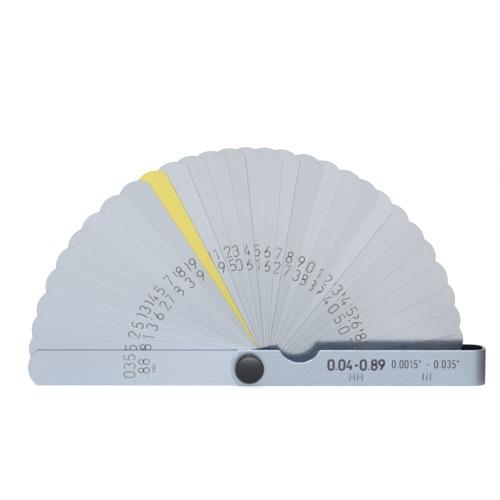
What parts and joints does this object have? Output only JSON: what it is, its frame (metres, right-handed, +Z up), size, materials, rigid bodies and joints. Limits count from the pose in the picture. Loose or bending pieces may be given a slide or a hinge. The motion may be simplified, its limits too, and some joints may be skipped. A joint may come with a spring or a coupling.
{
  "type": "feeler gauge",
  "caption": "Pocket feeler gauge: thin steel leaves and a brass leaf fanned out on a stud from a bent strip case with a thumb notch, locked by a round knurled knob.",
  "frame": {"origin": "on the resting edge of the front cheek, straight below the stud's axis", "axes": "+X along the case from the stud towards the bend, +Y from the knob side to the back, +Z up, square to the resting edges"},
  "size_m": [0.164, 0.0205, 0.0851],
  "materials": {
    "clip_steel": "satin ground strip",
    "leaf_steel": "fine ground spring steel",
    "leaf_brass": "satin rolled brass",
    "stud_steel": "turned steel",
    "black_oxide": "black oxide"
  },
  "bodies": {
    "case": {"case_clip": "clip_steel", "pivot_stud": "stud_steel"},
    "washer": {"clamp_washer": "stud_steel"},
    "knob": {"lock_knob": "black_oxide"},
    "leaf_35_thou": {"leaf_35_thou": "leaf_steel"},
    "leaf_1p5_thou": {"leaf_1p5_thou": "leaf_steel"},
    "leaf_2_thou": {"leaf_2_thou": "leaf_steel"},
    "leaf_2p5_thou": {"leaf_2p5_thou": "leaf_steel"},
    "leaf_3_thou": {"leaf_3_thou": "leaf_steel"},
    "leaf_4_thou": {"leaf_4_thou": "leaf_steel"},
    "leaf_5_thou": {"leaf_5_thou": "leaf_steel"},
    "leaf_6_thou": {"leaf_6_thou": "leaf_steel"},
    "leaf_7_thou": {"leaf_7_thou": "leaf_steel"},
    "leaf_8_thou": {"leaf_8_thou": "leaf_steel"},
    "leaf_9_thou": {"leaf_9_thou": "leaf_steel"},
    "leaf_10_thou_brass": {"leaf_10_thou_brass": "leaf_brass"},
    "leaf_11_thou": {"leaf_11_thou": "leaf_steel"},
    "leaf_12_thou": {"leaf_12_thou": "leaf_steel"},
    "leaf_13_thou": {"leaf_13_thou": "leaf_steel"},
    "leaf_14_thou": {"leaf_14_thou": "leaf_steel"},
    "leaf_15_thou": {"leaf_15_thou": "leaf_steel"},
    "leaf_16_thou": {"leaf_16_thou": "leaf_steel"},
    "leaf_17_thou": {"leaf_17_thou": "leaf_steel"},
    "leaf_18_thou": {"leaf_18_thou": "leaf_steel"},
    "leaf_19_thou": {"leaf_19_thou": "leaf_steel"},
    "leaf_20_thou": {"leaf_20_thou": "leaf_steel"},
    "leaf_21_thou": {"leaf_21_thou": "leaf_steel"},
    "leaf_22_thou": {"leaf_22_thou": "leaf_steel"},
    "leaf_23_thou": {"leaf_23_thou": "leaf_steel"},
    "leaf_24_thou": {"leaf_24_thou": "leaf_steel"},
    "leaf_25_thou": {"leaf_25_thou": "leaf_steel"},
    "leaf_26_thou": {"leaf_26_thou": "leaf_steel"},
    "leaf_28_thou": {"leaf_28_thou": "leaf_steel"},
    "leaf_30_thou": {"leaf_30_thou": "leaf_steel"},
    "leaf_32_thou": {"leaf_32_thou": "leaf_steel"}
  },
  "joints": [
    {"name": "knob_travel", "type": "slide", "parent": "case", "child": "washer", "axis": [0, -1, 0], "range_m": [0, 0.0016]},
    {"name": "knob_turn", "type": "hinge", "parent": "washer", "child": "knob", "pos_m": [0, 0, 0.00645], "axis": [0, -1, 0], "range_deg": [0, 720]},
    {"name": "leaf_35_thou_swing", "type": "hinge", "parent": "case", "child": "leaf_35_thou", "pos_m": [0, 0.00096, 0.00645], "axis": [0, -1, 0], "range_deg": [-180, 0]},
    {"name": "leaf_1p5_thou_swing", "type": "hinge", "parent": "case", "child": "leaf_1p5_thou", "pos_m": [0, 0.00145, 0.00645], "axis": [0, -1, 0], "range_deg": [-174.7, 5.3]},
    {"name": "leaf_2_thou_swing", "type": "hinge", "parent": "case", "child": "leaf_2_thou", "pos_m": [0, 0.00151, 0.00645], "axis": [0, -1, 0], "range_deg": [-169.2, 10.8]},
    {"name": "leaf_2p5_thou_swing", "type": "hinge", "parent": "case", "child": "leaf_2p5_thou", "pos_m": [0, 0.00159, 0.00645], "axis": [0, -1, 0], "range_deg": [-163.2, 16.8]},
    {"name": "leaf_3_thou_swing", "type": "hinge", "parent": "case", "child": "leaf_3_thou", "pos_m": [0, 0.00168, 0.00645], "axis": [0, -1, 0], "range_deg": [-156, 24]},
    {"name": "leaf_4_thou_swing", "type": "hinge", "parent": "case", "child": "leaf_4_thou", "pos_m": [0, 0.00179, 0.00645], "axis": [0, -1, 0], "range_deg": [-149.5, 30.5]},
    {"name": "leaf_5_thou_swing", "type": "hinge", "parent": "case", "child": "leaf_5_thou", "pos_m": [0, 0.00192, 0.00645], "axis": [0, -1, 0], "range_deg": [-143.3, 36.7]},
    {"name": "leaf_6_thou_swing", "type": "hinge", "parent": "case", "child": "leaf_6_thou", "pos_m": [0, 0.00208, 0.00645], "axis": [0, -1, 0], "range_deg": [-143.3, 36.7]},
    {"name": "leaf_7_thou_swing", "type": "hinge", "parent": "case", "child": "leaf_7_thou", "pos_m": [0, 0.00227, 0.00645], "axis": [0, -1, 0], "range_deg": [-137.4, 42.6]},
    {"name": "leaf_8_thou_swing", "type": "hinge", "parent": "case", "child": "leaf_8_thou", "pos_m": [0, 0.00248, 0.00645], "axis": [0, -1, 0], "range_deg": [-130.4, 49.6]},
    {"name": "leaf_9_thou_swing", "type": "hinge", "parent": "case", "child": "leaf_9_thou", "pos_m": [0, 0.00271, 0.00645], "axis": [0, -1, 0], "range_deg": [-123.6, 56.4]},
    {"name": "leaf_10_thou_brass_swing", "type": "hinge", "parent": "case", "child": "leaf_10_thou_brass", "pos_m": [0, 0.00298, 0.00645], "axis": [0, -1, 0], "range_deg": [-118.1, 61.9]},
    {"name": "leaf_11_thou_swing", "type": "hinge", "parent": "case", "child": "leaf_11_thou", "pos_m": [0, 0.00326, 0.00645], "axis": [0, -1, 0], "range_deg": [-112.1, 67.9]},
    {"name": "leaf_12_thou_swing", "type": "hinge", "parent": "case", "child": "leaf_12_thou", "pos_m": [0, 0.00357, 0.00645], "axis": [0, -1, 0], "range_deg": [-106.9, 73.1]},
    {"name": "leaf_13_thou_swing", "type": "hinge", "parent": "case", "child": "leaf_13_thou", "pos_m": [0, 0.00391, 0.00645], "axis": [0, -1, 0], "range_deg": [-101.3, 78.7]},
    {"name": "leaf_14_thou_swing", "type": "hinge", "parent": "case", "child": "leaf_14_thou", "pos_m": [0, 0.00427, 0.00645], "axis": [0, -1, 0], "range_deg": [-96.1, 83.9]},
    {"name": "leaf_15_thou_swing", "type": "hinge", "parent": "case", "child": "leaf_15_thou", "pos_m": [0, 0.00466, 0.00645], "axis": [0, -1, 0], "range_deg": [-91.3, 88.7]},
    {"name": "leaf_16_thou_swing", "type": "hinge", "parent": "case", "child": "leaf_16_thou", "pos_m": [0, 0.00508, 0.00645], "axis": [0, -1, 0], "range_deg": [-86, 94]},
    {"name": "leaf_17_thou_swing", "type": "hinge", "parent": "case", "child": "leaf_17_thou", "pos_m": [0, 0.00552, 0.00645], "axis": [0, -1, 0], "range_deg": [-81.2, 98.8]},
    {"name": "leaf_18_thou_swing", "type": "hinge", "parent": "case", "child": "leaf_18_thou", "pos_m": [0, 0.00598, 0.00645], "axis": [0, -1, 0], "range_deg": [-74.6, 105.4]},
    {"name": "leaf_19_thou_swing", "type": "hinge", "parent": "case", "child": "leaf_19_thou", "pos_m": [0, 0.00647, 0.00645], "axis": [0, -1, 0], "range_deg": [-68.8, 111.2]},
    {"name": "leaf_20_thou_swing", "type": "hinge", "parent": "case", "child": "leaf_20_thou", "pos_m": [0, 0.00699, 0.00645], "axis": [0, -1, 0], "range_deg": [-62.3, 117.7]},
    {"name": "leaf_21_thou_swing", "type": "hinge", "parent": "case", "child": "leaf_21_thou", "pos_m": [0, 0.00753, 0.00645], "axis": [0, -1, 0], "range_deg": [-57.1, 122.9]},
    {"name": "leaf_22_thou_swing", "type": "hinge", "parent": "case", "child": "leaf_22_thou", "pos_m": [0, 0.00809, 0.00645], "axis": [0, -1, 0], "range_deg": [-51.9, 128.1]},
    {"name": "leaf_23_thou_swing", "type": "hinge", "parent": "case", "child": "leaf_23_thou", "pos_m": [0, 0.00868, 0.00645], "axis": [0, -1, 0], "range_deg": [-45.5, 134.5]},
    {"name": "leaf_24_thou_swing", "type": "hinge", "parent": "case", "child": "leaf_24_thou", "pos_m": [0, 0.0093, 0.00645], "axis": [0, -1, 0], "range_deg": [-38.7, 141.3]},
    {"name": "leaf_25_thou_swing", "type": "hinge", "parent": "case", "child": "leaf_25_thou", "pos_m": [0, 0.00994, 0.00645], "axis": [0, -1, 0], "range_deg": [-32.8, 147.2]},
    {"name": "leaf_26_thou_swing", "type": "hinge", "parent": "case", "child": "leaf_26_thou", "pos_m": [0, 0.01061, 0.00645], "axis": [0, -1, 0], "range_deg": [-25.2, 154.8]},
    {"name": "leaf_28_thou_swing", "type": "hinge", "parent": "case", "child": "leaf_28_thou", "pos_m": [0, 0.01132, 0.00645], "axis": [0, -1, 0], "range_deg": [-19, 161]},
    {"name": "leaf_30_thou_swing", "type": "hinge", "parent": "case", "child": "leaf_30_thou", "pos_m": [0, 0.01207, 0.00645], "axis": [0, -1, 0], "range_deg": [-12.5, 167.5]},
    {"name": "leaf_32_thou_swing", "type": "hinge", "parent": "case", "child": "leaf_32_thou", "pos_m": [0, 0.01288, 0.00645], "axis": [0, -1, 0], "range_deg": [-6.6, 173.4]}
  ],
  "couplings": [
    {"joint": "knob_turn", "follows": "knob_travel", "rad_per_m": 7854}
  ]
}
